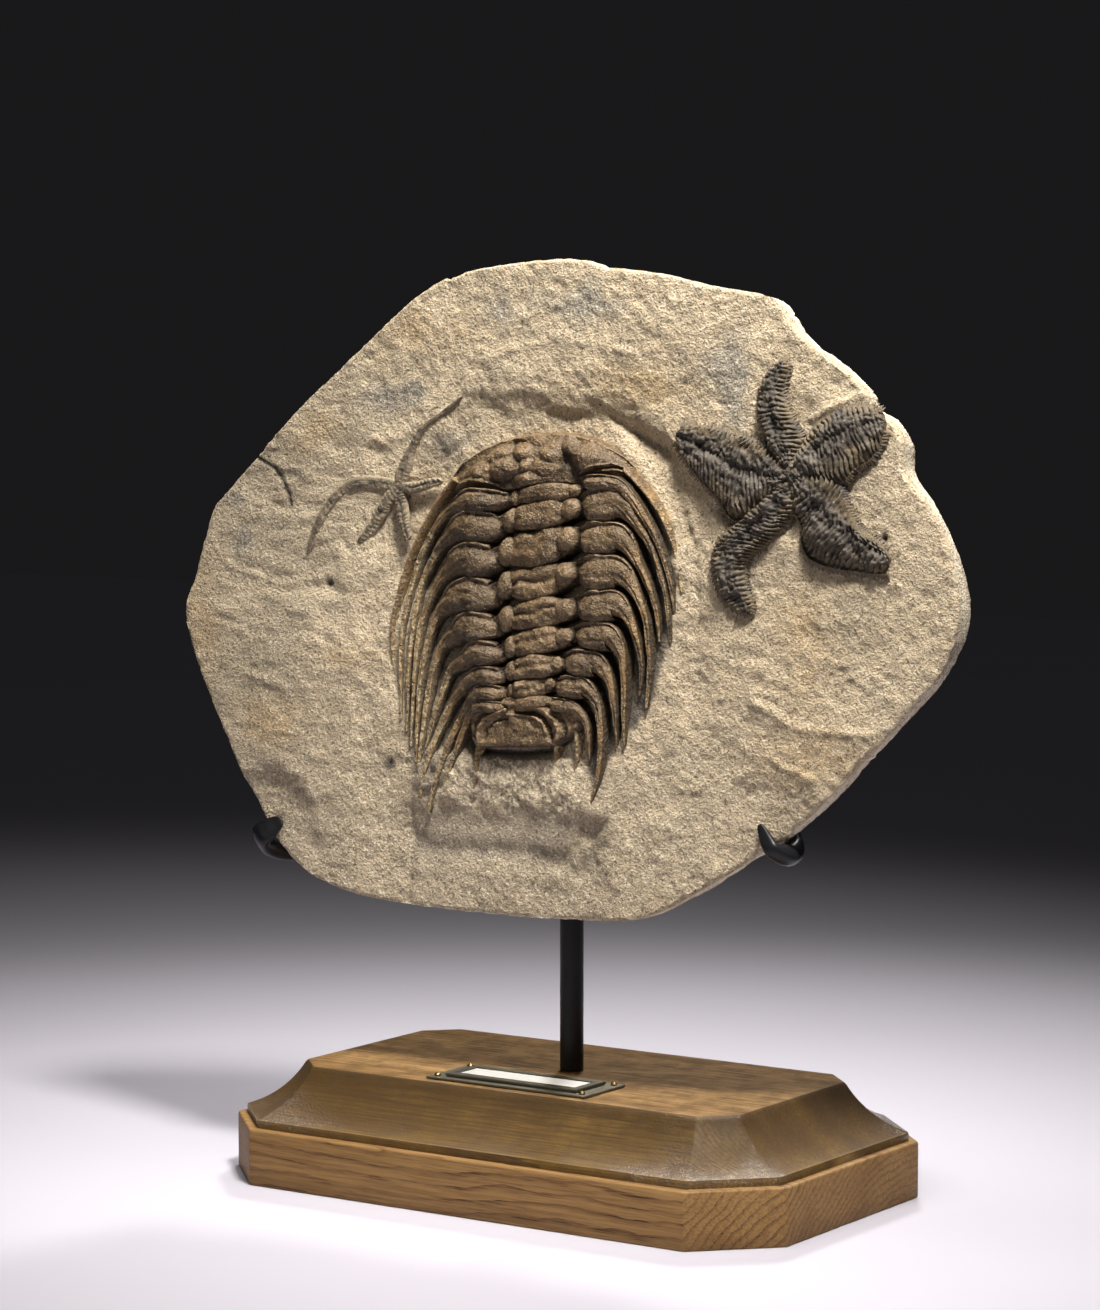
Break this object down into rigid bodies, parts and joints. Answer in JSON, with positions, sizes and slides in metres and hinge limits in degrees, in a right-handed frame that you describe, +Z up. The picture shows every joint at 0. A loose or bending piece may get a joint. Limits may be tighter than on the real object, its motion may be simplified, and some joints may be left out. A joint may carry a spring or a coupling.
{
  "type": "fossil trilobite plate on a stand",
  "caption": "Sandstone slab with a long-spined trilobite and starfish in relief, held upright by claws on a post in a moulded oak base with a blank label holder.",
  "frame": {"origin": "centre of the oak base's underside", "axes": "+Z up, the plate's carved face and the label towards -Y, +X to the right seen from the front"},
  "size_m": [0.3633, 0.1574, 0.3683],
  "materials": {
    "sandstone": "matt, fine-grained sawn and prepared sandstone",
    "trilobite_shell": "dark brown polished fossil shell, semi-gloss",
    "starfish_grey": "charcoal fossil, satin",
    "starfish_brown": "low grey-brown fossil, matt",
    "oak": "glossy varnished amber oak",
    "black_metal": "satin black",
    "dark_bronze": "dark olive-bronze patina",
    "silver_card": "satin silver, blank",
    "brass": "polished"
  },
  "bodies": {
    "root": {"slab": "sandstone", "trilobite": "trilobite_shell", "large_starfish": "starfish_grey", "small_starfish": "starfish_brown", "wood_base": "oak", "post": "black_metal", "rear_bracket": "black_metal", "left_claw": "black_metal", "right_claw": "black_metal", "label_plate": "dark_bronze", "label_frame": "dark_bronze", "label_insert": "silver_card", "label_pin_1": "brass", "label_pin_2": "brass", "label_pin_3": "brass", "label_pin_4": "brass"}
  },
  "joints": []
}
